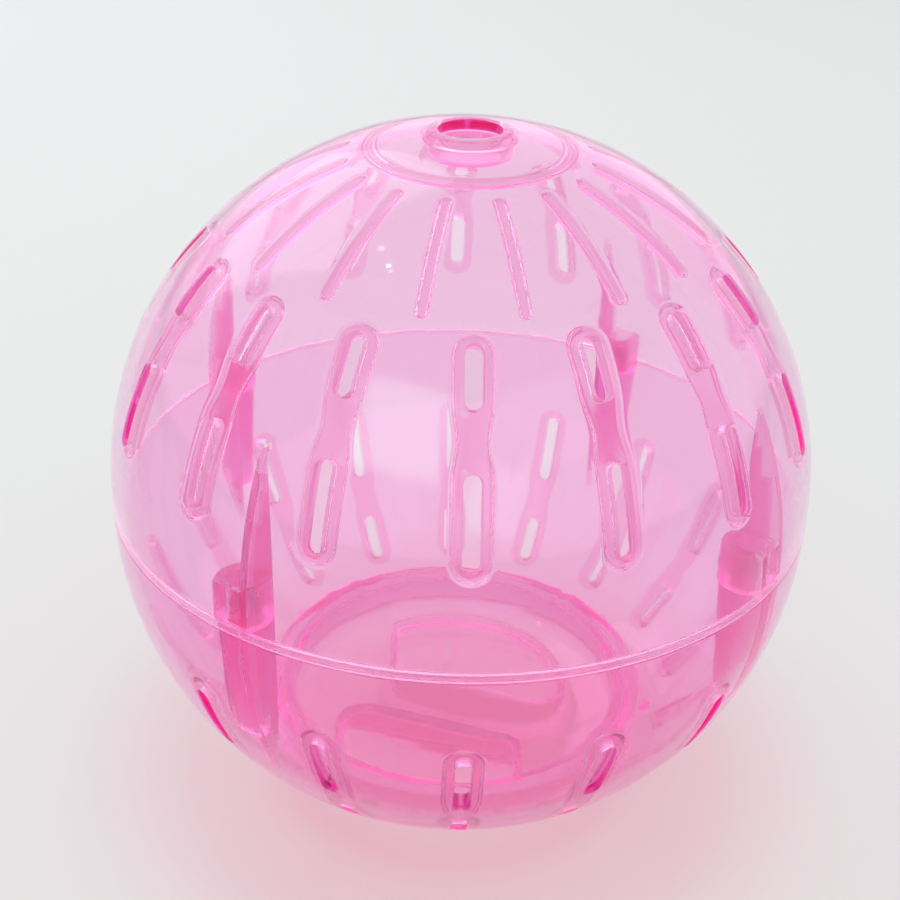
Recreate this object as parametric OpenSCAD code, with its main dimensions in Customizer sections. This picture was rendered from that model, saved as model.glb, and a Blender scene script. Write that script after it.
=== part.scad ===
// Hamster ball: two slotted half shells that close on four pegs, and a push-in door.
// Millimetres, +Z up. The origin is the centre of the ball, on the plane of the seam,
// and +Z runs through the middle of the small hole in the top.

/* [Ball] */
// Outer radius of the domes of both half shells
ball_r = 50; // [40:1:80]
// Thickness of the moulded shell walls
wall = 1.5; // [1.2:0.1:2.2]
// Height of the straight band between each dome and the seam
band_h = 1.5; // [1.2:0.1:3]

/* [Seam] */
// Thickness of the tongue that stands on the rim of the lower half
tongue_t = 0.7; // [0.4:0.05:0.8]
// Clearance round the tongue in the rebate of the upper half
lap_fit = 0.05; // [0.03:0.01:0.1]
// Height of the step inside the rim of the upper half that takes the tongue
lap_h = 0.8; // [0.6:0.1:1.2]
// Space left above the tongue when the halves are closed
lap_head = 0.1; // [0.05:0.05:0.3]
// Gap between the tongue and the sockets and fins inside it
lap_inner_gap = 0.3; // [0.1:0.05:0.6]

/* [Air slots] */
// Number of slot columns round each half
columns = 16; // [8:4:20]
// Width of a slot
slot_w = 2.2; // [1.6:0.1:3]
// Latitude where the long slot starts, in degrees
long_from = 14.5; // [12:0.5:18]
// Latitude where the long slot ends, in degrees
long_to = 28; // [24:0.5:30]
// Latitude where the short slot starts, in degrees
short_from = 36.5; // [35:0.5:38]
// Latitude where the short slot ends, in degrees
short_to = 45.5; // [43:0.5:46]
// Width of the raised border round a slot
border_w = 1.3; // [0.8:0.1:1.8]
// Width of the raised strip at the waist between two slots
waist_w = 3.6; // [2:0.1:4.5]
// Height of the raised border inside the wall
border_h = 0.8; // [0.5:0.1:2]

/* [Thin ribs] */
// Latitude where a thin rib starts, in degrees
rib_from = 49.5; // [48:0.5:52]
// Latitude where a thin rib ends, in degrees
rib_to = 70.5; // [60:0.5:71]
// Width of a thin rib
rib_w = 1.3; // [0.8:0.1:2]
// Height of a thin rib inside the wall
rib_h = 1; // [0.4:0.1:1.6]

/* [Top hole] */
// Radius of the hole through the top
hole_r = 4.2; // [3:0.1:6]
// Thickness of the tube round the hole
hub_wall = 1.4; // [0.8:0.1:2]
// Length of the tube round the hole
hub_h = 4; // [2.5:0.1:8]
// Radius of the middle of the ring rib round the hole
ring_r = 13; // [12:0.1:15]
// Width of the ring rib
ring_w = 1.3; // [0.8:0.1:2]
// Height of the ring rib inside the wall
ring_h = 1; // [0.4:0.1:1.6]

/* [Pegs and sockets] */
// Number of pegs round the seam
pegs = 4; // [2:2:4]
// Depth of a fin from the inner wall at the seam to its free edge
fin_d = 5.3; // [4.5:0.1:7]
// Thickness of a fin
fin_t = 1.1; // [0.8:0.1:1.4]
// Radius of a peg
peg_r = 1.7; // [1.2:0.1:2]
// Height of a peg above the seam
peg_h = 3.5; // [2.6:0.1:5]
// Clearance round a peg in its socket
peg_fit = 0.05; // [0.03:0.01:0.1]
// Outer radius of a socket tube
socket_r = 3.6; // [3:0.1:4]
// Height of a socket tube above the seam
socket_h = 5.8; // [5.5:0.1:9]
// Distance from the inner wall to the axis of a peg
socket_in = 2.9; // [2.5:0.1:3.4]
// Distance from the middle of a fin to the axis of its peg
socket_side = 2.35; // [2.3:0.05:3]
// Radius of a post just under the seam
post_r = 3.3; // [2.8:0.1:3.6]
// Radius of a post at its lower tip
post_tip_r = 2.2; // [1.5:0.1:2.8]
// Length of a post below the seam
post_h = 18; // [12:0.5:20]

/* [Doorway] */
// Radius of the doorway through the lower half
door_r = 27; // [24:0.5:30]
// Width of the shelf that the flange of the door meets
shelf_w = 1.6; // [1:0.1:2.5]
// Thickness of the collar outside the seat
collar_t = 0.9; // [0.7:0.1:2]
// Height of the collar above the shelf
collar_h = 5; // [4.7:0.1:8]

/* [Door] */
// Clearance of the skirt of the door in the doorway
door_fit = 0.05; // [0.03:0.01:0.1]
// Gap round the flange of the door
flange_gap = 0.3; // [0.1:0.05:0.5]
// Gap between the flange and the shelf
seat_gap = 0.05; // [0:0.01:0.2]
// Thickness of the flange at its edge
flange_t = 1.2; // [1:0.1:2]
// Height of the skirt above the flange
skirt_h = 4.5; // [3:0.1:4.6]
// Depth of the finger wells from the lowest point of the ball
well_deep = 7; // [5.5:0.1:8]
// Thickness of the upright walls of the finger wells
well_wall = 0.9; // [0.8:0.1:1.5]
// Width of the grip bar between the finger wells
bar_w = 11; // [7:0.5:14]
// Turn of the grip bar about the axis of the ball, in degrees
bar_turn = -18; // [-30:1:0]
// Radius of the round edge of a finger well
well_r = 17.9; // [15:0.1:18]
// Distance from the axis of the ball to the middle of that round edge
well_mid = 5.5; // [4:0.1:5.9]
// Distance from the axis of the ball to the straight push wall of a well
well_left = 9.5; // [7:0.5:12]

/* [Hidden] */
$fn = 96;
// Overrun of every cut past the face that it goes through
over = ball_r / 50;
inner_r = ball_r - wall;
// Radius in the middle of the wall, where what stands on the wall is rooted
root_r = ball_r - wall / 2;
pole_z = band_h + ball_r;
pitch = 360 / columns;
// The first fin stands half-way between two slot columns
first_fin = -1.5 * pitch;
fin_step = 360 / pegs;
fin_edge_r = inner_r - fin_d;
peg_axis_r = inner_r - socket_in;
tongue_h = lap_h - lap_head;
rebate_r = inner_r + tongue_t + lap_fit;
hub_r = hole_r + hub_wall;
seat_r = door_r + shelf_w;
collar_r = seat_r + collar_t;
flange_r = seat_r - flange_gap;
skirt_r = door_r - door_fit;
// Depth of the outer dome below the seam, at the edge of the flange
flange_low = band_h + sqrt(ball_r * ball_r - flange_r * flange_r);
flange_top = flange_low - flange_t;
shelf_z = flange_top - seat_gap;
collar_top = shelf_z - collar_h;
well_floor = pole_z - well_deep;

// Profile of a disc edge with a straight part and a quarter round on top
module domed_profile(r, straight) {
    square([r, straight]);
    translate([0, straight])
        intersection() {
            circle(r);
            square(r);
        }
}

module domed_solid(r, straight) {
    rotate_extrude()
        domed_profile(r, straight);
}

// Outline with round ends, its length along Y
module long_round(length, width) {
    square([width, length - width], center = true);
    for (side = [-1, 1])
        translate([0, side * (length - width) / 2])
            circle(d = width);
}

// Turns Z to point outwards at a latitude and longitude, and Y to point at the pole.
// Longitude 0 lies on -Y and grows towards +X.
module outwards(lat, lon) {
    translate([0, 0, band_h])
        rotate([0, 0, lon])
            rotate([90 - lat, 0, 0])
                children();
}

// A bar through the wall between two latitudes, round at both ends
module wall_bar(lat_a, lat_b, width, extra, lon) {
    outwards((lat_a + lat_b) / 2, lon)
        translate([0, 0, inner_r / 2])
            linear_extrude(ball_r)
                long_round(2 * (ball_r * sin((lat_b - lat_a) / 2) + extra), width + 2 * extra);
}

// The waist strip between the two slots of a column
module waist_bar(lon) {
    outwards((long_to + short_from) / 2, lon)
        translate([0, 0, inner_r / 2])
            linear_extrude(ball_r)
                square([waist_w, 2 * ball_r * sin((short_from - long_to) / 2) + 2 * border_w], center = true);
}

// Everything between the wall's middle and a given height inside it
module lining(height) {
    difference() {
        domed_solid(root_r, band_h);
        translate([0, 0, band_h])
            sphere(r = inner_r - height);
        cylinder(r = inner_r - height, h = band_h);
    }
}

module half_wall() {
    rotate_extrude()
        difference() {
            domed_profile(ball_r, band_h);
            domed_profile(inner_r, band_h);
        }
}

module slot_borders() {
    intersection() {
        lining(border_h);
        for (i = [0 : columns - 1]) {
            wall_bar(long_from, long_to, slot_w, border_w, i * pitch);
            wall_bar(short_from, short_to, slot_w, border_w, i * pitch);
            waist_bar(i * pitch);
        }
    }
}

module slots() {
    for (i = [0 : columns - 1]) {
        wall_bar(long_from, long_to, slot_w, 0, i * pitch);
        wall_bar(short_from, short_to, slot_w, 0, i * pitch);
    }
}

module thin_ribs() {
    intersection() {
        lining(rib_h);
        for (i = [0 : columns - 1])
            wall_bar(rib_from, rib_to, rib_w, 0, (i + 0.5) * pitch);
    }
}

module ring_rib() {
    intersection() {
        lining(ring_h);
        difference() {
            cylinder(r = ring_r + ring_w / 2, h = pole_z);
            cylinder(r = ring_r - ring_w / 2, h = pole_z);
        }
    }
}

// Puts its children at each fin, the fin's plane on X = 0 and the wall towards -Y
module at_each_fin() {
    for (i = [0 : pegs - 1])
        rotate([0, 0, first_fin + i * fin_step])
            children();
}

module fins() {
    intersection() {
        domed_solid(root_r, band_h);
        at_each_fin()
            translate([-fin_t / 2, -ball_r, 0])
                cube([fin_t, ball_r - fin_edge_r, pole_z]);
    }
}

module at_each_peg() {
    at_each_fin()
        translate([-socket_side, -peg_axis_r, 0])
            children();
}

module socket_tubes() {
    intersection() {
        domed_solid(root_r, band_h);
        at_each_peg()
            cylinder(r = socket_r, h = socket_h);
    }
}

module socket_bores() {
    at_each_peg()
        translate([0, 0, -over])
            cylinder(r = peg_r + peg_fit, h = socket_h + 2 * over);
}

// The step inside the rim of the upper half that takes the tongue
module rebate() {
    translate([0, 0, -over])
        difference() {
            cylinder(r = rebate_r, h = lap_h + over);
            cylinder(r = inner_r - lap_inner_gap, h = lap_h + over);
        }
}

module tongue() {
    translate([0, 0, -band_h])
        difference() {
            cylinder(r = inner_r + tongue_t, h = band_h + tongue_h);
            translate([0, 0, -over])
                cylinder(r = inner_r, h = band_h + tongue_h + 2 * over);
        }
}

module posts() {
    mirror([0, 0, 1])
        intersection() {
            domed_solid(root_r, band_h);
            at_each_peg()
                cylinder(r1 = post_r, r2 = post_tip_r, h = post_h);
        }
}

module peg_pins() {
    at_each_peg() {
        domed_solid(peg_r, peg_h - peg_r);
        mirror([0, 0, 1])
            cylinder(r = peg_r, h = band_h);
    }
}

// The collar round the doorway, down to the middle of the wall
module collar() {
    mirror([0, 0, 1])
        intersection() {
            domed_solid(root_r, band_h);
            translate([0, 0, collar_top])
                cylinder(r = collar_r, h = ball_r);
        }
}

module doorway() {
    translate([0, 0, -pole_z - over])
        cylinder(r = door_r, h = pole_z + over - collar_top + over);
    translate([0, 0, -pole_z - over])
        cylinder(r = seat_r, h = pole_z + over - shelf_z);
}

// Outline of one finger well, grown all round by a given amount
module well_outline(grow) {
    left = well_left + grow;
    bar_edge = (bar_w / 2 - grow) / cos(bar_turn);
    intersection() {
        translate([0, well_mid])
            circle(r = well_r + grow);
        polygon([
            [-left, bar_edge - left * tan(bar_turn)],
            [ball_r, bar_edge + ball_r * tan(bar_turn)],
            [ball_r, ball_r],
            [-left, ball_r],
        ]);
    }
}

module both_wells() {
    for (turn = [0, 180])
        rotate([0, 0, turn])
            children();
}

module upper_half() {
    color("hotpink", 0.55)
        difference() {
            union() {
                half_wall();
                slot_borders();
                thin_ribs();
                ring_rib();
                fins();
                socket_tubes();
                translate([0, 0, pole_z - hub_h])
                    cylinder(r = hub_r, h = hub_h);
            }
            slots();
            rebate();
            socket_bores();
            translate([0, 0, pole_z - hub_h - over])
                cylinder(r = hole_r, h = hub_h + 2 * over);
        }
}

module lower_half() {
    color("deeppink", 0.55)
        difference() {
            union() {
                mirror([0, 0, 1]) {
                    half_wall();
                    slot_borders();
                    thin_ribs();
                    fins();
                }
                tongue();
                posts();
                peg_pins();
                collar();
            }
            mirror([0, 0, 1])
                slots();
            doorway();
        }
}

module door() {
    color("mediumvioletred", 0.55)
        mirror([0, 0, 1])
            difference() {
                union() {
                    intersection() {
                        domed_solid(ball_r, band_h);
                        translate([0, 0, flange_top])
                            cylinder(r = flange_r, h = ball_r);
                    }
                    translate([0, 0, flange_top - skirt_h])
                        cylinder(r = skirt_r, h = skirt_h + flange_t);
                }
                difference() {
                    intersection() {
                        domed_solid(inner_r, band_h);
                        cylinder(r = skirt_r - wall, h = pole_z);
                    }
                    both_wells()
                        translate([0, 0, well_floor - wall])
                            linear_extrude(ball_r)
                                well_outline(well_wall);
                }
                both_wells()
                    translate([0, 0, well_floor])
                        linear_extrude(ball_r)
                            well_outline(0);
            }
}

upper_half();
lower_half();
door();
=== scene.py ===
import math

import bpy
import numpy as np
from mathutils import Matrix, Vector


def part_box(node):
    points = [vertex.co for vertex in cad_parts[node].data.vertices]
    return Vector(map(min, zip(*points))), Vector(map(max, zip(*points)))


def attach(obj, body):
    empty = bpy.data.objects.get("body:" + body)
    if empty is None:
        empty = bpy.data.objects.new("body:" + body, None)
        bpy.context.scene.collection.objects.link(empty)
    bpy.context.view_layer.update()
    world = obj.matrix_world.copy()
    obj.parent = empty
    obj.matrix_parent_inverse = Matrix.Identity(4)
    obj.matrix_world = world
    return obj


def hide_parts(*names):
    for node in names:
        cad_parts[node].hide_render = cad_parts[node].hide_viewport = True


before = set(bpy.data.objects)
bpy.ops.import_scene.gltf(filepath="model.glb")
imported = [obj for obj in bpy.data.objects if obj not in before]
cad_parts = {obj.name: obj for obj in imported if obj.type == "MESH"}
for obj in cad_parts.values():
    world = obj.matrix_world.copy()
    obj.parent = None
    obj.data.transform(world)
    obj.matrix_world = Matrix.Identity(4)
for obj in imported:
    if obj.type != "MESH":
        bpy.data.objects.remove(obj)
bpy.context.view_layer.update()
mm = 0.001

# Upper half shell
# The real piece is one injection moulding in clear pink polystyrene, 1.5 mm thick. The core
# side carries the raised borders, ribs and sockets, and the outside is polished smooth.
shell_low, shell_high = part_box("upper_half")
ball_r = (shell_high[0] - shell_low[0]) / 2
pole_z = shell_high[2]
band_h = pole_z - ball_r
wall = 1.5 * mm
inner_r = ball_r - wall
columns = 16
pitch = 2 * math.pi / columns

# Slots, panels and ribs reach from one latitude to another, in degrees above the dome's foot
slot_r = 1.1 * mm
border_w = 1.3 * mm
neck_w = 1.8 * mm
border_h = 0.8 * mm
edge_round = 0.3 * mm
crest_round = 0.38 * mm
foot_round = 0.4 * mm
draft = 0.08 * mm
long_slot = (14.5, 28.0)
short_slot = (36.5, 45.5)
panel_low = 9.5
panel_high = 48.1
thin_rib = (49.5, 70.5)
rib_panel_high = 71.5
rib_r = 0.65 * mm
rib_h = 1.0 * mm
rib_round = 0.45 * mm
arc_steps = 10
long_steps, neck_steps, short_steps = 8, 6, 6
rib_steps = 24
quarter = [math.radians(a) for a in (0, 30, 60, 90)]


def up_dome(degrees):
    """Length along the outer surface from the dome's foot up to a latitude."""
    return ball_r * math.radians(degrees)


long_low, long_high = up_dome(long_slot[0]) + slot_r, up_dome(long_slot[1]) - slot_r
short_low, short_high = up_dome(short_slot[0]) + slot_r, up_dome(short_slot[1]) - slot_r


def laid(rows):
    """A grid primitive pulled onto rows of points, as a sheet is laid over a form."""
    rows = np.asarray(rows, dtype=float)
    bpy.ops.mesh.primitive_grid_add(x_subdivisions=rows.shape[1] - 1, y_subdivisions=rows.shape[0] - 1)
    sheet = bpy.context.object
    sheet.data.vertices.foreach_set("co", rows.reshape(-1))
    return sheet


def on_dome(points, inward, turn=0.0):
    """Flat points (across, up from the dome's foot) laid on the dome, at a depth below its surface."""
    across, up = points[:, 0], points[:, 1]
    lat = up / ball_r
    lon = across / (ball_r * np.cos(lat)) + turn
    r = ball_r - inward
    return np.stack([
        r * np.cos(lat) * np.sin(lon), -r * np.cos(lat) * np.cos(lon), band_h + r * np.sin(lat),
    ], axis=1)


def arc(middle, r, start, end, steps):
    """Points round an arc, by angle in degrees."""
    turn = np.linspace(math.radians(start), math.radians(end), steps + 1)
    return np.stack([middle[0] + r * np.cos(turn), middle[1] + r * np.sin(turn)], axis=1)


def closed_outline(right, low, high, r):
    """A closed outline: round below, up the right side's points, round on top and down the left."""
    left = right[::-1] * [-1, 1]
    below = arc((0, low), r, 180, 360, arc_steps)
    above = arc((0, high), r, 0, 180, arc_steps)
    return np.concatenate([below, right[1:], above[1:], left[1:]])


def straight_side(r, low, high, steps):
    return np.stack([np.full(steps + 1, r), np.linspace(low, high, steps + 1)], axis=1)


def slot_outline(r, low, high, steps):
    return closed_outline(straight_side(r, low, high, steps), low, high, r)


def column_side(r, neck):
    """Right side of a column's outline, drawn in to the neck between its two slots."""
    t = np.linspace(0, 1, neck_steps + 1)
    waist = np.stack([
        r - (r - neck) * np.sin(math.pi * t) ** 2, long_high + (short_low - long_high) * t,
    ], axis=1)
    return np.concatenate([
        straight_side(r, long_low, long_high, long_steps),
        waist[1:],
        straight_side(r, short_low, short_high, short_steps)[1:],
    ])


def column_outline(outset):
    """The outline of the raised border round a column's two slots."""
    r = slot_r + border_w + outset
    return closed_outline(column_side(r, neck_w + outset), long_low, short_high, r)


def panel_outline(low, high, side_shares, ends):
    """Border of one panel of the dome, with as many points as the outline inside it."""
    up = low + (high - low) * np.asarray(side_shares)
    half = ball_r * np.cos(up / ball_r) * pitch / 2
    right = np.stack([half, up], axis=1)
    t = np.linspace(-1, 1, ends + 1)
    below = np.stack([t * half[0], np.full(ends + 1, low)], axis=1)
    above = np.stack([-t * half[-1], np.full(ends + 1, high)], axis=1)
    left = right[::-1] * [-1, 1]
    return np.concatenate([below, right[1:], above[1:], left[1:]])


def between(a, b, shares):
    """Steps on the way from a to b."""
    return [a + (b - a) * t for t in shares]


def raised_edge(height, rounding):
    """Down the side of a raised strip: how far outside its outline, and how high above the wall."""
    top = [
        (-rounding + rounding * math.sin(a), height - rounding + rounding * math.cos(a)) for a in quarter
    ]
    foot = [
        (draft + foot_round - foot_round * math.cos(a), foot_round - foot_round * math.sin(a))
        for a in quarter
    ]
    return top + foot


slot_edge = [
    (edge_round - edge_round * math.cos(a), edge_round - edge_round * math.sin(a)) for a in quarter
]
outside_shares = (0, 0.06, 0.16, 0.3, 0.48, 0.65, 0.82, 1)
inside_shares = (0, 0.06, 0.18, 0.36, 0.56, 0.78, 1)
rib_side_shares = (0, 0.12, 0.35, 0.65, 1)
slots = [(long_low, long_high, long_steps), (short_low, short_high, short_steps)]
held_r = slot_r + edge_round
neck_pinch = 0.22


def neck_grid(inward):
    """The strip between the long slot's top end and the short slot's lower end."""
    turn = np.linspace(0, math.pi, arc_steps + 1)
    rows = []
    for t in np.linspace(0, 1, neck_steps + 1):
        across = held_r * np.cos(turn) * (1 - neck_pinch * math.sin(math.pi * t) ** 2)
        up = (1 - t) * (long_high + held_r * np.sin(turn)) + t * (short_low - held_r * np.sin(turn))
        rows.append(on_dome(np.stack([across, up], axis=1), inward))
    return laid(rows)


def slot_column():
    """One column of two slots, from the outside through the slot walls to the raised border."""
    side = column_side(slot_r + border_w, neck_w)[:, 1]
    shares = (side - side[0]) / (side[-1] - side[0])
    panel = panel_outline(up_dome(panel_low), up_dome(panel_high), shares, arc_steps)
    held = closed_outline(column_side(held_r, held_r * (1 - neck_pinch)), long_low, short_high, held_r)
    sheets = []
    for low, high, steps in slots:
        outside = [on_dome(slot_outline(slot_r + d, low, high, steps), depth) for d, depth in slot_edge]
        inside = [
            on_dome(slot_outline(slot_r + d, low, high, steps), wall + border_h - depth)
            for d, depth in slot_edge
        ]
        through = between(outside[0], inside[0], (0, 0.5, 1))
        sheets += [laid(outside), laid(inside), laid(through)]
    sheets += [neck_grid(0), neck_grid(wall + border_h)]
    sheets.append(laid([on_dome(p, 0) for p in between(held, panel, outside_shares)]))
    crest = column_outline(-crest_round)
    sheets.append(laid([on_dome(p, wall + border_h) for p in between(held, crest, (0, 0.5, 1))]))
    border = [on_dome(column_outline(e), wall + h) for e, h in raised_edge(border_h, crest_round)]
    sheets.append(laid(border))
    foot = column_outline(draft + foot_round)
    sheets.append(laid([on_dome(p, wall) for p in between(foot, panel, inside_shares)]))
    return sheets


def thin_rib_panel(low, high, panel_top, steps):
    """The inner wall with one thin rib, which stands half-way between two slot columns."""
    low, high = up_dome(low) + rib_r, up_dome(high) - rib_r
    shares = np.linspace(0, 1, steps + 1)
    panel = panel_outline(up_dome(panel_high), up_dome(panel_top), shares, arc_steps)
    half_turn = pitch / 2
    edge = [
        (slot_outline(rib_r + e, low, high, steps), wall + h) for e, h in raised_edge(rib_h, rib_round)
    ]
    sheets = [laid([on_dome(p, depth, half_turn) for p, depth in edge])]
    beside = between(edge[-1][0], panel, rib_side_shares)
    sheets.append(laid([on_dome(p, wall, half_turn) for p in beside]))
    # Its crest is closed with rungs from the left side's points to the right side's
    crest = edge[0][0]
    quarter_steps = arc_steps // 2
    right = crest[quarter_steps:quarter_steps + arc_steps + steps + 1]
    left = np.concatenate([crest[quarter_steps::-1], crest[-2:arc_steps + steps + quarter_steps - 1:-1]])
    ladder = [on_dome(np.array([a, b]), wall + rib_h, half_turn) for a, b in zip(left, right)]
    return sheets + [laid(ladder)]


def turned(profile):
    """One pitch of a turned profile of (radius, height) points."""
    lon = np.linspace(-pitch / 2, pitch / 2, arc_steps + 1)
    return laid([
        np.stack([r * np.sin(lon), -r * np.cos(lon), np.full(len(lon), z)], axis=1) for r, z in profile
    ])


def dome_rows(lats, r=None):
    """Profile points of a dome of radius r at several latitudes."""
    r = ball_r if r is None else r
    return [(r * math.cos(math.radians(a)), band_h + r * math.sin(math.radians(a))) for a in lats]


def closed_round(sheets, count=columns):
    """Joins the sheets of one pitch, copies them all round the ball and welds them shut."""
    bpy.ops.object.select_all(action="DESELECT")
    for sheet in sheets:
        sheet.select_set(True)
    bpy.context.view_layer.objects.active = sheets[0]
    bpy.ops.object.join()
    piece = bpy.context.object
    bpy.ops.object.empty_add(rotation=(0, 0, 2 * math.pi / count))
    step = bpy.context.object
    copies = piece.modifiers.new("round_the_ball", "ARRAY")
    copies.count = count
    copies.use_relative_offset = False
    copies.use_object_offset = True
    copies.offset_object = step
    bpy.context.view_layer.objects.active = piece
    bpy.ops.object.modifier_apply(modifier=copies.name)
    bpy.data.objects.remove(step)
    bpy.ops.object.select_all(action="DESELECT")
    piece.select_set(True)
    bpy.context.view_layer.objects.active = piece
    bpy.ops.object.mode_set(mode="EDIT")
    bpy.ops.mesh.select_all(action="SELECT")
    bpy.ops.mesh.remove_doubles(threshold=0.01 * mm)
    bpy.ops.mesh.select_all(action="DESELECT")
    bpy.ops.mesh.select_non_manifold()
    bpy.ops.mesh.fill_holes(sides=0)
    bpy.ops.mesh.select_all(action="SELECT")
    bpy.ops.mesh.normals_make_consistent(inside=False)
    bpy.ops.object.mode_set(mode="OBJECT")
    return piece


rim_round = 0.12 * mm
seam_gap = 0.02 * mm
lap_r = inner_r + 0.7 * mm
lap_fit = 0.05 * mm
lap_head = 0.1 * mm
lap_h = 0.8 * mm
rebate_r = lap_r + lap_fit

# Rows round the seam, from the outside of the band over the rim, through the rebate to the inner wall
outer_rim = dome_rows((panel_low, 6.5, 3.2, 0)) + [
    (ball_r, 0.8 * mm), (ball_r, 2 * rim_round), (ball_r, rim_round),
    (ball_r - 0.3 * rim_round, 0.35 * rim_round), (ball_r - rim_round, seam_gap),
]
upper_rim = outer_rim + [
    (rebate_r + rim_round, seam_gap), (rebate_r + 0.3 * rim_round, 0.35 * rim_round),
    (rebate_r, rim_round), (rebate_r, 2 * rim_round), (rebate_r, lap_h - 0.1 * mm),
    (rebate_r, lap_h), (rebate_r - 0.1 * mm, lap_h), (inner_r + rim_round, lap_h),
    (inner_r + 0.3 * rim_round, lap_h + 0.03 * mm), (inner_r, lap_h + 0.12 * mm),
] + dome_rows((0.2, 3.2, 6.5, panel_low), inner_r)

hole_r = 4.2 * mm
hub_r = hole_r + 1.4 * mm
hub_h = 4.0 * mm
lip = 0.3 * mm
ring_mid = math.degrees(math.acos(13.0 * mm / inner_r))
ring_half = 0.65 * mm
ring_h = 1.0 * mm


def ring_rib():
    """Profile of the ring rib inside the cap, from its lower foot over the crest to its upper foot."""
    lower = [(-ring_half - e, h) for e, h in reversed(raised_edge(ring_h, rib_round))]
    upper = [(ring_half + e, h) for e, h in raised_edge(ring_h, rib_round)]
    rows = []
    for along, height in lower + upper:
        lat = math.radians(ring_mid) + along / inner_r
        r = inner_r - height
        rows.append((r * math.cos(lat), band_h + r * math.sin(lat)))
    return rows


# Rows from the inner wall above the thin ribs, over the ring rib and the hub, to the outside
hub_foot_z = band_h + math.sqrt(inner_r ** 2 - hub_r ** 2)
hub_top_z = band_h + math.sqrt(ball_r ** 2 - hub_r ** 2)
hub_end_z = pole_z - hub_h
hub_rows = [
    (hub_r + 0.35 * mm, hub_foot_z - 0.02 * mm), (hub_r + 0.08 * mm, hub_foot_z - 0.12 * mm),
    (hub_r, hub_foot_z - 0.4 * mm), (hub_r, hub_end_z + lip),
    (hub_r - 0.3 * lip, hub_end_z + 0.3 * lip), (hub_r - lip, hub_end_z),
    (hole_r + lip, hub_end_z), (hole_r + 0.3 * lip, hub_end_z + 0.3 * lip),
    (hole_r, hub_end_z + lip), (hole_r, pole_z - 2 * lip), (hole_r + 0.08 * mm, pole_z - lip),
    (hole_r + 0.35 * lip, pole_z - 0.35 * lip), (hole_r + lip, pole_z), (hub_r - lip, pole_z),
    (hub_r - 0.05 * mm, pole_z - 0.08 * mm), (hub_r + 0.05 * mm, hub_top_z + 0.03 * mm),
    (hub_r + 0.3 * mm, hub_top_z - 0.03 * mm),
]
upper_cap = dome_rows((rib_panel_high, 72.4), inner_r) + ring_rib()
upper_cap += dome_rows((77.2, 79.6, 81.8), inner_r) + hub_rows
upper_cap += dome_rows((81.8, 79.6, 77.2, 74.4, rib_panel_high))
upper_outside = dome_rows(np.linspace(panel_high, rib_panel_high, rib_steps + 1))

upper_half = closed_round(
    slot_column()
    + thin_rib_panel(*thin_rib, rib_panel_high, rib_steps)
    + [turned(upper_rim), turned(upper_cap), turned(upper_outside)]
)
upper_half.name = "upper_half_shell"

# Upper half fins and sockets
# Four thin fins stand on the inside of the moulding, each with a round socket beside its foot.
# They are moulded in one with the shell, so they are united with it. The pegs push into them.
root_r = inner_r + 0.4 * mm
lap_clear_r = inner_r - 0.3 * mm
lap_top = lap_h + 0.05 * mm
fin_edge_r = inner_r - 5.3 * mm
fin_half = 0.55 * mm
fin_round = 0.35 * mm
foot_inset = 0.12 * mm
boss_count = 4
first_boss = math.radians(-33.75)
boss_x, boss_y = -2.35 * mm, -(inner_r - 2.9 * mm)
bore_r = 1.75 * mm
socket_r = 3.6 * mm
socket_h = 5.8 * mm
tube_steps = 40


def root_at(height, in_lap):
    """How far out a boss may reach at a height: short of the lap beside it, and into the wall above."""
    return lap_clear_r if in_lap else math.sqrt(root_r ** 2 - max(height - band_h, 0) ** 2)


def at_first_boss(points):
    """Turns points from a boss's own frame, where the wall is towards -Y, to the first boss's place."""
    x, y, z = np.asarray(points, dtype=float).T
    c, s = math.cos(first_boss), math.sin(first_boss)
    return np.stack([x * c - y * s, x * s + y * c, z], axis=1)


def fin_section(height, reach, inset=0.0):
    """One level cut through a fin, from its root in the wall round its free edge and back."""
    half, edge = fin_half - inset, fin_edge_r + inset
    soft = min(fin_round, 0.45 * (reach - edge))
    side = [(half, r) for r in between(reach, edge + soft, (0, 0.33, 0.67, 1))]
    nose = [(half - 0.3 * soft, edge + 0.3 * soft), (half - soft, edge)]
    right = side + nose
    loop = right + [(-x, r) for x, r in reversed(right)] + [right[0]]
    return at_first_boss([(x, -r, height) for x, r in loop])


def fin(stations):
    """A thin fin lofted through (height, is beside the lap, inset) stations."""
    return laid([
        fin_section(height, root_at(height, in_lap), inset) for height, in_lap, inset in stations
    ])


def pressed_ring(r, height, reach):
    """A ring of a boss at a height, pressed flat where it would come through the wall."""
    turn = np.linspace(0, 2 * math.pi, tube_steps + 1)
    x, y = boss_x + r * np.cos(turn), boss_y + r * np.sin(turn)
    shrink = np.minimum(1, reach / np.hypot(x, y))
    return at_first_boss(np.stack([x * shrink, y * shrink, np.full(len(turn), height)], axis=1))


fin_top = band_h + math.sqrt(inner_r ** 2 - fin_edge_r ** 2) + 0.35 * mm
fin_rows = np.linspace(lap_top, fin_top, 13)
upper_fins = closed_round([fin(
    [(seam_gap, True, foot_inset), (0.15 * mm, True, 0), (0.5 * mm, True, 0), (lap_top, True, 0)]
    + [(height, False, 0) for height in fin_rows]
)], boss_count)

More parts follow.
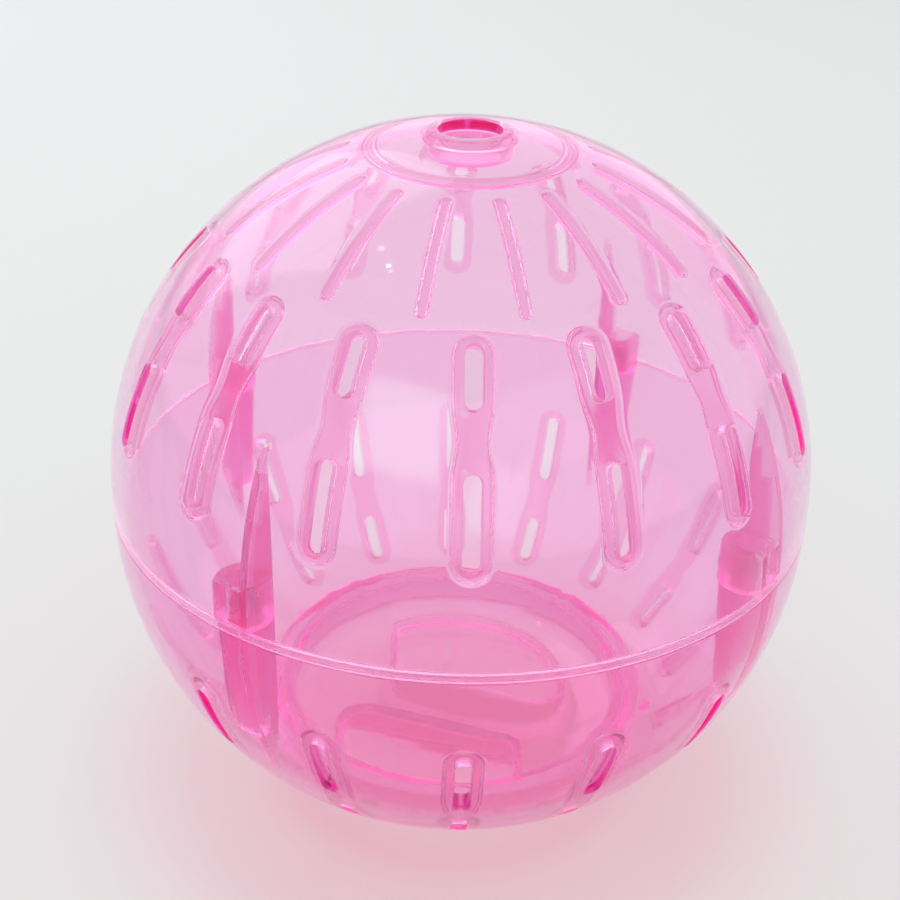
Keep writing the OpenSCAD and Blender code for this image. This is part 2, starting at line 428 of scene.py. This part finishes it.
# A socket's (radius, height, is beside the lap) rows, up its bore, over its end and down its outside
socket_profile = [
    (bore_r, 0.4 * mm, True), (bore_r, lap_top, True), (bore_r, 4 * mm, False),
    (bore_r, socket_h - 0.35 * mm, False), (bore_r + 0.08 * mm, socket_h - 0.1 * mm, False),
    (bore_r + 0.3 * mm, socket_h, False), (socket_r - 0.45 * mm, socket_h, False),
    (socket_r - 0.15 * mm, socket_h - 0.1 * mm, False), (socket_r, socket_h - 0.4 * mm, False),
    (socket_r, 5 * mm, False), (socket_r, 3.4 * mm, False), (socket_r, lap_top, False),
    (socket_r, lap_top, True), (socket_r, 0.5 * mm, True), (socket_r, 0.15 * mm, True),
    (socket_r - foot_inset, seam_gap, True), (bore_r + 0.25 * mm, seam_gap, True),
    (bore_r, 0.4 * mm, True),
]
upper_sockets = closed_round([laid([
    pressed_ring(r, height, root_at(height, in_lap)) for r, height, in_lap in socket_profile
])], boss_count)


def moulded_in_one(shell, boss):
    """Unites a boss with the shell it grows out of."""
    union = shell.modifiers.new("moulded_in_one", "BOOLEAN")
    union.operation = "UNION"
    union.solver = "MANIFOLD"
    union.object = boss
    bpy.context.view_layer.objects.active = shell
    bpy.ops.object.modifier_apply(modifier=union.name)
    bpy.data.objects.remove(boss)


doorway_zone_r, doorway_zone_z = 30.5 * mm, -30 * mm
clear_ring_r = 25.3 * mm
seam_zone = 1.7 * mm
rib_depth, boss_depth = 0.15 * mm, 1.4 * mm
side_on_share = 0.6


def polished(piece):
    """Smooth shading with corners kept, and a mark for matt faces painted a deeper pink: ribs, bosses,
    edges.
    """
    bpy.ops.object.select_all(action="DESELECT")
    piece.select_set(True)
    bpy.context.view_layer.objects.active = piece
    bpy.ops.object.shade_smooth_by_angle(angle=math.radians(50))
    normals = piece.modifiers.new("broad_faces_lead", "WEIGHTED_NORMAL")
    normals.keep_sharp = True
    bpy.ops.object.modifier_apply(modifier=normals.name)
    faces = piece.data.polygons
    centre, outward = np.empty(len(faces) * 3), np.empty(len(faces) * 3)
    faces.foreach_get("center", centre)
    faces.foreach_get("normal", outward)
    centre, outward = centre.reshape(-1, 3), outward.reshape(-1, 3)
    radial = centre.copy()
    radial[:, 2] = np.sign(centre[:, 2]) * np.maximum(np.abs(centre[:, 2]) - band_h, 0)
    r = np.linalg.norm(radial, axis=1)
    facing = np.abs((radial * outward).sum(axis=1)) / r
    axis_r = np.hypot(centre[:, 0], centre[:, 1])
    by_doorway = (axis_r < doorway_zone_r) & (centre[:, 2] < doorway_zone_z)
    clear_ring = by_doorway & (axis_r > clear_ring_r)
    side_on = facing < side_on_share
    seam = (np.abs(centre[:, 2]) < seam_zone) & side_on
    rib = ((r < inner_r - rib_depth) & ~by_doorway) | (side_on & ~clear_ring)
    boss = ((r < inner_r - boss_depth) & ~by_doorway) | seam
    # The mark makes faces matt and paints them a deeper pink, standing in for light carried inside the
    # plastic
    mark = piece.data.attributes.new("matt_and_painted_pink", "FLOAT", "FACE")
    mark.data.foreach_set("value", (0.5 * rib + 0.5 * boss).astype(np.float32))


moulded_in_one(upper_half, upper_fins)
moulded_in_one(upper_half, upper_sockets)
polished(upper_half)

# Crystal polystyrene with a little pink dye in it, moulded against polished steel. To the eye it is
# clear and glossy, and the dye shows most where light goes through much of it: at edges and bosses,
# where a painted deeper pink stands in for the light that runs along inside the plastic.
wave_length, wave_height = 25 * mm, 0.05 * mm
scuff_gap = 1.5 * mm
gloss, scuffed, unpolished_gloss = 0.05, 0.09, 0.4


def linear(hex_colour):
    """An sRGB hex colour as the linear numbers that a shader takes."""
    parts = [int(hex_colour[i:i + 2], 16) / 255 for i in (1, 3, 5)]
    return tuple(c / 12.92 if c <= 0.04045 else ((c + 0.055) / 1.055) ** 2.4 for c in parts) + (1.0,)


def add(tree, kind, links=(), values=(), **settings):
    """Adds one node with its settings, its (socket, value) pairs and its (socket, source) links."""
    node = tree.nodes.new(kind)
    for name, value in settings.items():
        setattr(node, name, value)
    for socket, value in values:
        node.inputs[socket].default_value = value
    for socket, source in links:
        tree.links.new(source, node.inputs[socket])
    return node


def clear_plastic(name, dye, strength, pale, deep, turns=4.5):
    """Moulded crystal polystyrene: light goes through it, and its dye soaks some of that light up."""
    material = bpy.data.materials.new(name)
    material.use_nodes = True
    tree = material.node_tree
    tree.nodes.clear()
    place = add(tree, "ShaderNodeTexCoord").outputs["Object"]
    # Slow waves, from plastic that cooled unevenly in the mould
    waves = add(
        tree, "ShaderNodeTexNoise", [("Vector", place)], [("Scale", 1 / wave_length), ("Detail", 1)],
    )
    waved = add(
        tree, "ShaderNodeBump", [("Height", waves.outputs["Fac"])],
        [("Strength", 1), ("Distance", wave_height)],
    )
    # Wear: hairline scuffs, drawn 1.5 mm apart so that they show, only dull the gloss a little
    scuffs = add(
        tree, "ShaderNodeTexNoise", [("Vector", place)],
        [("Scale", 1 / scuff_gap), ("Detail", 3), ("Roughness", 0.6)],
    )
    dull = add(
        tree, "ShaderNodeMapRange", [("Value", scuffs.outputs["Fac"])],
        [("From Min", 0.45), ("From Max", 0.75), ("To Min", gloss), ("To Max", scuffed)],
    )
    # Ribs, slot edges and bosses are cut deep in the mould and stay unpolished, so they are matt. Their
    # deeper pink tint is painted light, standing in for the light that runs along inside the plastic
    matt_and_painted_pink = add(tree, "ShaderNodeAttribute", attribute_name="matt_and_painted_pink").outputs["Fac"]
    tint = add(
        tree, "ShaderNodeMix", [("Factor", matt_and_painted_pink)],
        [("A", linear(pale)), ("B", linear(deep))], data_type="RGBA",
    )
    soft = add(
        tree, "ShaderNodeMix", [("Factor", matt_and_painted_pink), ("A", dull.outputs["Result"])],
        [("B", unpolished_gloss)], data_type="FLOAT",
    )
    surface = add(
        tree, "ShaderNodeBsdfPrincipled", [
            ("Normal", waved.outputs["Normal"]), ("Roughness", soft.outputs["Result"]),
            ("Base Color", tint.outputs["Result"]),
        ], [
            ("IOR", 1.25), ("Transmission Weight", 1), ("Coat Weight", 0.35), ("Coat IOR", 2),
            ("Coat Roughness", 0.04),
        ],
    )
    # Light that has made some turns inside the plastic goes straight on, as it leaks out of the real one
    path = add(tree, "ShaderNodeLightPath").outputs
    trapped = add(
        tree, "ShaderNodeMath", [(0, path["Ray Depth"])], [(1, turns)], operation="GREATER_THAN",
    )
    leaking = add(tree, "ShaderNodeBsdfTransparent")
    body = add(tree, "ShaderNodeMixShader", [
        (0, trapped.outputs[0]), (1, surface.outputs["BSDF"]), (2, leaking.outputs["BSDF"]),
    ])
    # Lamps and light that the table sends back go straight through, so that the ball's shadow is pink
    outside = add(tree, "ShaderNodeMath", [
        (0, path["Is Shadow Ray"]), (1, path["Is Diffuse Ray"]),
    ], operation="MAXIMUM")
    passing = add(tree, "ShaderNodeBsdfTransparent", values=[("Color", (1, 0.938, 0.922, 1))])
    mixed = add(tree, "ShaderNodeMixShader", [
        (0, outside.outputs[0]), (1, body.outputs["Shader"]), (2, passing.outputs["BSDF"]),
    ])
    depth = add(
        tree, "ShaderNodeVolumeAbsorption", values=[("Color", linear(dye)), ("Density", strength)],
    )
    add(tree, "ShaderNodeOutputMaterial", [
        ("Surface", mixed.outputs["Shader"]), ("Volume", depth.outputs["Volume"]),
    ])
    return material


# The palest of the three mouldings. The lower half and door are darker copies of this plastic,
# whose denser dye and deeper tints are painted shade for the ball's lower part
upper_half.data.materials.clear()
upper_half.data.materials.append(clear_plastic(
    "clear pink polystyrene, upper half",
    dye="#ff00d8", strength=56, pale="#fff0fb", deep="#ff80cc",
))
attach(upper_half, "upper_half")
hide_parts("upper_half")

# Lower half shell
# The matching moulding in the same clear plastic. It has the same slots and borders, a tongue
# round its rim that fills the upper half's rebate, and a collar round the doorway in its floor.
collar_r = 29.5 * mm
doorway_r = 27.0 * mm
seat_r = 28.6 * mm
collar_top = 36.47 * mm
shelf = 41.47 * mm
stub_rib = (49.5, 51.6)
stub_steps = 4
stub_panel_high = 51.95
seat_lat = math.degrees(math.acos(seat_r / ball_r))
seat_out = band_h + math.sqrt(ball_r ** 2 - seat_r ** 2)
collar_foot = band_h + math.sqrt(inner_r ** 2 - collar_r ** 2)
tongue_top = -(lap_h - lap_head)

# The lower half is drawn upside down, with its depth below the seam as height, and then turned over
lower_rim = outer_rim + [
    (lap_r + 0.08 * mm, seam_gap), (lap_r, -0.04 * mm), (lap_r, -0.2 * mm),
    (lap_r, tongue_top + 0.25 * mm), (lap_r - 0.04 * mm, tongue_top + 0.08 * mm),
    (lap_r - 0.14 * mm, tongue_top), (inner_r + 0.14 * mm, tongue_top),
    (inner_r + 0.04 * mm, tongue_top + 0.05 * mm), (inner_r, tongue_top + 0.2 * mm),
    (inner_r, -0.2 * mm), (inner_r, 0.6 * mm),
] + dome_rows((0, 3.2, 6.5, panel_low), inner_r)

lower_doorway = dome_rows((stub_panel_high, 52.15), inner_r) + [
    (collar_r + 0.1 * mm, collar_foot - 0.16 * mm), (collar_r, collar_foot - 0.4 * mm),
    (collar_r, collar_top + 1.2 * mm), (collar_r, collar_top + 0.4 * mm),
    (collar_r - 0.12 * mm, collar_top + 0.12 * mm), (collar_r - 0.4 * mm, collar_top),
    (doorway_r + 0.5 * mm, collar_top), (doorway_r + 0.15 * mm, collar_top + 0.12 * mm),
    (doorway_r, collar_top + 0.4 * mm), (doorway_r, collar_top + 2 * mm), (doorway_r, shelf - 0.15 * mm),
    (doorway_r + 0.15 * mm, shelf), (seat_r - 0.1 * mm, shelf), (seat_r, shelf + 0.1 * mm),
    (seat_r, seat_out - 0.3 * mm), (seat_r + 0.06 * mm, seat_out - 0.12 * mm),
] + dome_rows((seat_lat - 0.35, 53.6, 52.0, 50.0, panel_high))

lower_half = closed_round(
    slot_column()
    + thin_rib_panel(*stub_rib, stub_panel_high, stub_steps)
    + [turned(lower_rim), turned(lower_doorway)]
)
lower_half.name = "lower_half_shell"

# Lower half fins, posts and pegs
# The four fins go on below the seam, and each has a tapered post beside it. The post's top carries
# the peg that the upper half is pushed on to.
post_r, post_tip_r, post_h = 3.3 * mm, 2.2 * mm, 18.0 * mm
peg_r, peg_h = 1.7 * mm, 3.5 * mm
peg_dome = [math.radians(a) for a in (12, 30, 48, 66, 82)]

lower_fins = closed_round([fin(
    [(seam_gap, False, foot_inset), (0.15 * mm, False, 0), (0.8 * mm, False, 0)]
    + [(height, False, 0) for height in fin_rows]
)], boss_count)

post_profile = [(peg_r * math.sin(a), -peg_h + peg_r - peg_r * math.cos(a)) for a in peg_dome] + [
    (peg_r, -peg_h + peg_r), (peg_r, -1.0 * mm), (peg_r, -0.12 * mm), (peg_r + 0.14 * mm, seam_gap),
    (post_r - 0.12 * mm, seam_gap), (post_r, 0.16 * mm),
] + [
    (post_r + (post_tip_r - post_r) * t, post_h * t) for t in (0.06, 0.2, 0.4, 0.6, 0.8, 0.96)
] + [(post_tip_r - 0.15 * mm, post_h - 0.12 * mm), (post_tip_r - 0.6 * mm, post_h)]
lower_posts = closed_round([laid([
    pressed_ring(r, height, root_at(height, False)) for r, height in post_profile
])], boss_count)

moulded_in_one(lower_half, lower_fins)
moulded_in_one(lower_half, lower_posts)


def turned_over(piece):
    """Mirrors a piece that was drawn upside down to its place under the seam."""
    bpy.ops.object.select_all(action="DESELECT")
    piece.select_set(True)
    bpy.context.view_layer.objects.active = piece
    bpy.ops.object.mode_set(mode="EDIT")
    bpy.ops.mesh.select_all(action="SELECT")
    bpy.ops.transform.resize(value=(1, 1, -1), center_override=(0, 0, 0))
    bpy.ops.mesh.normals_make_consistent(inside=False)
    bpy.ops.object.mode_set(mode="OBJECT")


turned_over(lower_half)
polished(lower_half)

# The same plastic with denser dye and deeper tints: a darker copy, painted shade for the ball's lower
# part
lower_half.data.materials.clear()
lower_half.data.materials.append(clear_plastic(
    "clear pink polystyrene, lower half",
    dye="#ff00de", strength=80, pale="#ffe2f4", deep="#ff7ccb",
))
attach(lower_half, "lower_half")
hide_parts("lower_half")

# Door
# A round clear moulding that closes the doorway in the floor: its flange sits in the lower half's
# seat and its skirt is a push fit in the collar. Two finger wells leave a bar between them to grip.
door_fit = 0.05 * mm
flange_r = seat_r - 0.3 * mm
flange_top = shelf + door_fit
skirt_r = doorway_r - door_fit
skirt_in_r = skirt_r - wall
skirt_top = flange_top - 4.5 * mm
flange_out = band_h + math.sqrt(ball_r ** 2 - flange_r ** 2)

well_deep = 7.0 * mm
well_floor = pole_z - well_deep
well_left = -9.5 * mm
well_mid = 5.5 * mm
well_r = 17.9 * mm
bar_half = 5.5 * mm
bar_turn = math.radians(-18)
corner_left_bar, corner_left_arc, corner_arc_bar = 2.5 * mm, 1.5 * mm, 4.0 * mm
half_corner_steps, well_arc_steps, left_corner_steps, half_left_steps = 4, 48, 6, 5
left_points, bar_points = 10, 16
well_wall = 0.9 * mm
out_patch_r, in_patch_r = 24.6 * mm, 25.35 * mm


def corner_points(middle, r, start, end, steps):
    """Points and outward directions round a rounded corner or arc, by angle in radians."""
    turn = np.linspace(start, end, steps + 1)
    direction = np.stack([np.cos(turn), np.sin(turn)], axis=1)
    return np.asarray(middle) + r * direction, direction


bar_out = np.array([-math.sin(bar_turn), math.cos(bar_turn)])
bar_along = np.array([math.cos(bar_turn), math.sin(bar_turn)])


def corner_middles():
    """Middles of the rear well's three corner arcs. The well is a round pan cut off by two walls."""
    mid = np.array([0.0, well_mid])
    left_bar_x = well_left + corner_left_bar
    left_bar_y = (bar_half + corner_left_bar - bar_out[0] * left_bar_x) / bar_out[1]
    left_bar = np.array([left_bar_x, left_bar_y])
    reach = well_r - corner_left_arc
    left_arc_x = well_left + corner_left_arc
    left_arc = np.array([left_arc_x, mid[1] + math.sqrt(reach ** 2 - left_arc_x ** 2)])
    reach = well_r - corner_arc_bar
    above = bar_half + corner_arc_bar - bar_out @ mid
    arc_bar = mid + above * bar_out + math.sqrt(reach ** 2 - above ** 2) * bar_along
    return left_bar, left_arc, arc_bar


def well_loop():
    """The rear well's outline points with their outward directions, from the bar's right end round."""
    left_bar, left_arc, arc_bar = corner_middles()
    mid = np.array([0.0, well_mid])
    bar_down = math.atan2(-bar_out[1], -bar_out[0])
    arc_start = math.atan2(*(arc_bar - mid)[::-1])
    arc_end = math.atan2(*(left_arc - mid)[::-1])
    half_turn = (bar_down + arc_start) / 2
    left_wall = np.linspace([well_left, left_arc[1]], [well_left, left_bar[1]], left_points)
    bar_wall = np.linspace(
        left_bar - corner_left_bar * bar_out, arc_bar - corner_arc_bar * bar_out, bar_points,
    )
    parts = [
        corner_points(arc_bar, corner_arc_bar, half_turn, arc_start, half_corner_steps),
        corner_points(mid, well_r, arc_start, arc_end, well_arc_steps),
        corner_points(left_arc, corner_left_arc, arc_end, math.pi, left_corner_steps),
        (left_wall, np.tile([-1.0, 0.0], (left_points, 1))),
        corner_points(left_bar, corner_left_bar, math.pi, 2 * math.pi + bar_down, 2 * half_left_steps),
        (bar_wall, np.tile(-bar_out, (bar_points, 1))),
        corner_points(arc_bar, corner_arc_bar, bar_down, half_turn, half_corner_steps),
    ]
    points = np.concatenate([p if i == 0 else p[1:] for i, (p, n) in enumerate(parts)])
    outward = np.concatenate([n if i == 0 else n[1:] for i, (p, n) in enumerate(parts)])
    return points, outward


loop, loop_out = well_loop()
# Steps of the outline from the middle of its right corner round to the middle of its left one
arc_side = half_corner_steps + well_arc_steps + left_corner_steps + left_points - 1 + half_left_steps


def half_disc(r):
    """The half of the door behind the bar's middle line, with as many points as the well's outline."""
    turn = bar_turn + np.linspace(0, math.pi, arc_side + 1)
    rim = r * np.stack([np.cos(turn), np.sin(turn)], axis=1)
    line = np.linspace(rim[-1], rim[0], len(loop) - arc_side)
    return np.concatenate([rim, line[1:]])


def sphere_depth(points, r):
    """How deep a dome of radius r lies at flat points."""
    return band_h + np.sqrt(r ** 2 - (points ** 2).sum(axis=1))


def at_depth(points, depth):
    """Flat points at one depth, or at a depth each."""
    depth = np.broadcast_to(depth, len(points))
    return np.stack([points[:, 0], points[:, 1], depth], axis=1)


def well_side(outset, floor_depth, r, edge, patch_r):
    """One side of a well: its floor, its wall up to the dome with soft edges, and the dome around it."""
    wall_rows = [(-0.5, 0.0), (-0.15, 0.04), (-0.02, 0.12), (0.12, 0.88), (0.25, 0.96), (0.6, 1.0)]
    rows = []
    base = loop + outset * loop_out
    centre = base[:-1].mean(axis=0)
    inner = base + wall_rows[0][0] * edge * loop_out
    for share in (0.12, 0.4, 0.7, 0.9):
        rows.append(at_depth(centre + (inner - centre) * share, floor_depth))
    for offset, share in wall_rows:
        points = base + offset * edge * loop_out
        rows.append(at_depth(points, floor_depth + share * (sphere_depth(points, r) - floor_depth)))
    outermost = base + wall_rows[-1][0] * edge * loop_out
    for points in between(outermost, half_disc(patch_r), (0.2, 0.45, 0.72, 1)):
        rows.append(at_depth(points, sphere_depth(points, r)))
    return laid(rows)


def door_round(profile):
    """A turned strip half round the door, whose points meet those of the wells' patches."""
    turn = bar_turn + np.linspace(0, math.pi, arc_side + 1)
    return laid([
        np.stack([r * np.cos(turn), r * np.sin(turn), np.full(len(turn), z)], axis=1) for r, z in profile
    ])


def dome_ring(r, dome):
    """Profile point at radius r on a dome."""
    return (r, band_h + math.sqrt(dome ** 2 - r ** 2))


# Rows from the dome round the wells, over the flange's edge, up the skirt and down inside it
door_face = [dome_ring(r, ball_r) for r in (out_patch_r, 25.6 * mm, 26.8 * mm, flange_r - 0.2 * mm)]
door_profile = door_face + [
    (flange_r - 0.05 * mm, flange_out - 0.04 * mm), (flange_r, flange_out - 0.2 * mm),
    (flange_r, flange_top + 0.15 * mm), (flange_r - 0.15 * mm, flange_top),
    (skirt_r + 0.15 * mm, flange_top), (skirt_r, flange_top - 0.15 * mm),
    (skirt_r, flange_top - 2 * mm), (skirt_r, skirt_top + 0.9 * mm),
    (skirt_r - 0.2 * mm, skirt_top + 0.2 * mm), (skirt_r - 0.45 * mm, skirt_top),
    (skirt_in_r + 0.35 * mm, skirt_top), (skirt_in_r + 0.08 * mm, skirt_top + 0.1 * mm),
    (skirt_in_r, skirt_top + 0.4 * mm), (skirt_in_r, skirt_top + 3 * mm),
    (skirt_in_r, dome_ring(skirt_in_r, inner_r)[1] - 0.25 * mm),
    dome_ring(in_patch_r, inner_r),
]

# The front half of the door is its rear half turned half round
door = closed_round([
    well_side(0, well_floor, ball_r, 1.0 * mm, out_patch_r),
    well_side(well_wall, well_floor - wall, inner_r, 0.5 * mm, in_patch_r),
    door_round(door_profile),
], 2)
door.name = "door_moulding"
turned_over(door)
polished(door)

# Denser dye like the lower half's, painted shade for the ball's lower part. Light makes more turns
# in it, between the skirt and the wells
door.data.materials.clear()
door.data.materials.append(clear_plastic(
    "clear pink polystyrene, door",
    dye="#ff00de", strength=80, pale="#ffddf2", deep="#ff9ad4", turns=6.5,
))
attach(door, "door")
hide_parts("door")

# Table top
# A plain white table, matt and seamless, that the ball stands on. It is not part of the ball. The
# ball stands on its door, so the table keeps with the door when the ball is taken apart.
bpy.ops.object.select_all(action="DESELECT")
bpy.ops.mesh.primitive_plane_add(size=8, location=(0, 0, 0))
floor = bpy.context.object
floor.name = "floor"
floor.data.transform(Matrix.Translation((0, 0, -pole_z)))
paper = bpy.data.materials.new("white table top, matt")
paper.use_nodes = True
surface = paper.node_tree.nodes["Principled BSDF"]
surface.inputs["Base Color"].default_value = linear("#f0f0ef")
surface.inputs["Roughness"].default_value = 0.9
surface.inputs["Specular IOR Level"].default_value = 0.2
floor.data.materials.append(paper)
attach(floor, "door")

# Studio light
# Even light from a white room with two soft windows in front of the ball, a broad ceiling light, a
# window behind on the left and one tiny lamp overhead, which gives the small glint on the dome.
room_light, room_through, room_gloss = 0.62, 0.3, 0.42
pane_light, pane_gloss, pane_fade = 0.5, 0.8, 0.1
world = bpy.data.worlds.new("white room")
bpy.context.scene.world = world
world.use_nodes = True
tree = world.node_tree
towards = add(tree, "ShaderNodeTexCoord").outputs["Generated"]


def window(azimuth, elevation, half_width, half_height, share):
    """A soft-edged bright rectangle of the room, at an azimuth from -Y towards +X."""
    a, e = math.radians(azimuth), math.radians(elevation)
    ahead = Vector((math.cos(e) * math.sin(a), -math.cos(e) * math.cos(a), math.sin(e)))
    side_on = Vector((0, 0, 1)).cross(ahead).normalized()
    lit = None
    for axis, inside, outside in (
        (side_on, half_width, half_width + pane_fade),
        (ahead.cross(side_on), half_height, half_height + pane_fade),
        (-ahead, -2 * pane_fade, 0),
    ):
        lean = add(
            tree, "ShaderNodeVectorMath", [(0, towards)], [(1, axis)], operation="DOT_PRODUCT",
        ).outputs["Value"]
        if inside > 0:
            lean = add(tree, "ShaderNodeMath", [(0, lean)], operation="ABSOLUTE").outputs[0]
        faded = add(
            tree, "ShaderNodeMapRange", [("Value", lean)],
            [("From Min", inside), ("From Max", outside), ("To Min", 1), ("To Max", 0)],
            interpolation_type="SMOOTHSTEP",
        ).outputs["Result"]
        if lit is None:
            lit = faded
        else:
            lit = add(tree, "ShaderNodeMath", [(0, lit), (1, faded)], operation="MULTIPLY").outputs[0]
    return add(tree, "ShaderNodeMath", [(0, lit)], [(1, share)], operation="MULTIPLY").outputs[0]


windows = add(tree, "ShaderNodeMath", [
    (0, window(-25, 37, 0.2, 0.18, 1)), (1, window(33, 38, 0.16, 0.16, 0.25)),
], operation="ADD").outputs[0]
# The room looks brighter in the plastic's gloss and through it than it lights the table
rays = add(tree, "ShaderNodeLightPath").outputs
panes = add(
    tree, "ShaderNodeMath", [(0, rays["Is Glossy Ray"])],
    [(1, pane_gloss), (2, pane_light)], operation="MULTIPLY_ADD",
)
through = add(
    tree, "ShaderNodeMath", [(0, rays["Is Transmission Ray"])],
    [(1, room_through), (2, room_light)], operation="MULTIPLY_ADD",
)
walls = add(
    tree, "ShaderNodeMath", [(0, rays["Is Glossy Ray"]), (2, through.outputs[0])],
    [(1, room_gloss)], operation="MULTIPLY_ADD",
)
strength = add(tree, "ShaderNodeMath", [
    (0, windows), (1, panes.outputs[0]), (2, walls.outputs[0]),
], operation="MULTIPLY_ADD")
paint = add(
    tree, "ShaderNodeMix", [("Factor", rays["Is Glossy Ray"])],
    [("A", linear("#fdfeff")), ("B", linear("#ffeef8"))], data_type="RGBA",
)
daylight = add(
    tree, "ShaderNodeMix", [("Factor", windows), ("A", paint.outputs["Result"])],
    [("B", linear("#dcfff6"))], data_type="RGBA",
)
room = tree.nodes["Background"]
tree.links.new(daylight.outputs["Result"], room.inputs["Color"])
tree.links.new(strength.outputs[0], room.inputs["Strength"])


def lamp(name, azimuth, elevation, distance, size, power, colour="#ffffff"):
    """A square lamp that looks at the ball, at an azimuth from -Y towards +X."""
    a, e = math.radians(azimuth), math.radians(elevation)
    place = distance * Vector((math.cos(e) * math.sin(a), -math.cos(e) * math.cos(a), math.sin(e)))
    bpy.ops.object.light_add(type="AREA", location=place)
    light = bpy.context.object
    light.name = name
    light.rotation_euler = place.to_track_quat("Z", "Y").to_euler()
    light.data.size = size
    light.data.energy = power
    light.data.color = linear(colour)[:3]
    return light


ceiling = lamp("ceiling light", 0, 88, distance=2.0, size=0.8, power=10)
ceiling.visible_glossy = ceiling.visible_transmission = False
lamp("rear window", -142, 38, distance=0.9, size=0.7, power=1.1, colour="#f4f8ff")
lamp("overhead lamp", -102, 70, distance=1.5, size=0.02, power=0.12)

# Camera
# It stands 214 mm from the ball's middle, looking 30 degrees down, as the photograph's does. It aims
# a little beside the ball's middle, and is rolled a little and swung round the ball, in radians.
tilt = 0.5234165
away = 4.2761344 * ball_r
side_aim, up_aim, roll, swing = -0.0073362, 0.01448, 0.0307157, -0.0337831
sensor_width = 36
focal_pixels, photo_pixels = 1451.756, 900
from_ball = Vector((0, -math.cos(tilt), math.sin(tilt))) * away
ahead = -from_ball.normalized()
right = Vector((1, 0, 0))
up = right.cross(ahead)
aim = (ahead + side_aim * right + up_aim * up).normalized()
right = aim.cross(up).normalized()
up = right.cross(aim)
rolled_right = math.cos(roll) * right + math.sin(roll) * up
rolled_up = -math.sin(roll) * right + math.cos(roll) * up
view = Matrix((
    (rolled_right.x, rolled_up.x, -aim.x, from_ball.x),
    (rolled_right.y, rolled_up.y, -aim.y, from_ball.y),
    (rolled_right.z, rolled_up.z, -aim.z, from_ball.z),
    (0, 0, 0, 1),
))
bpy.ops.object.camera_add()
camera = bpy.context.object
camera.matrix_world = Matrix.Rotation(swing, 4, "Z") @ view
camera.data.sensor_width = sensor_width
camera.data.lens = sensor_width * focal_pixels / photo_pixels
camera.data.clip_start = 0.01
bpy.context.scene.camera = camera
bpy.context.scene.view_settings.view_transform = "Standard"
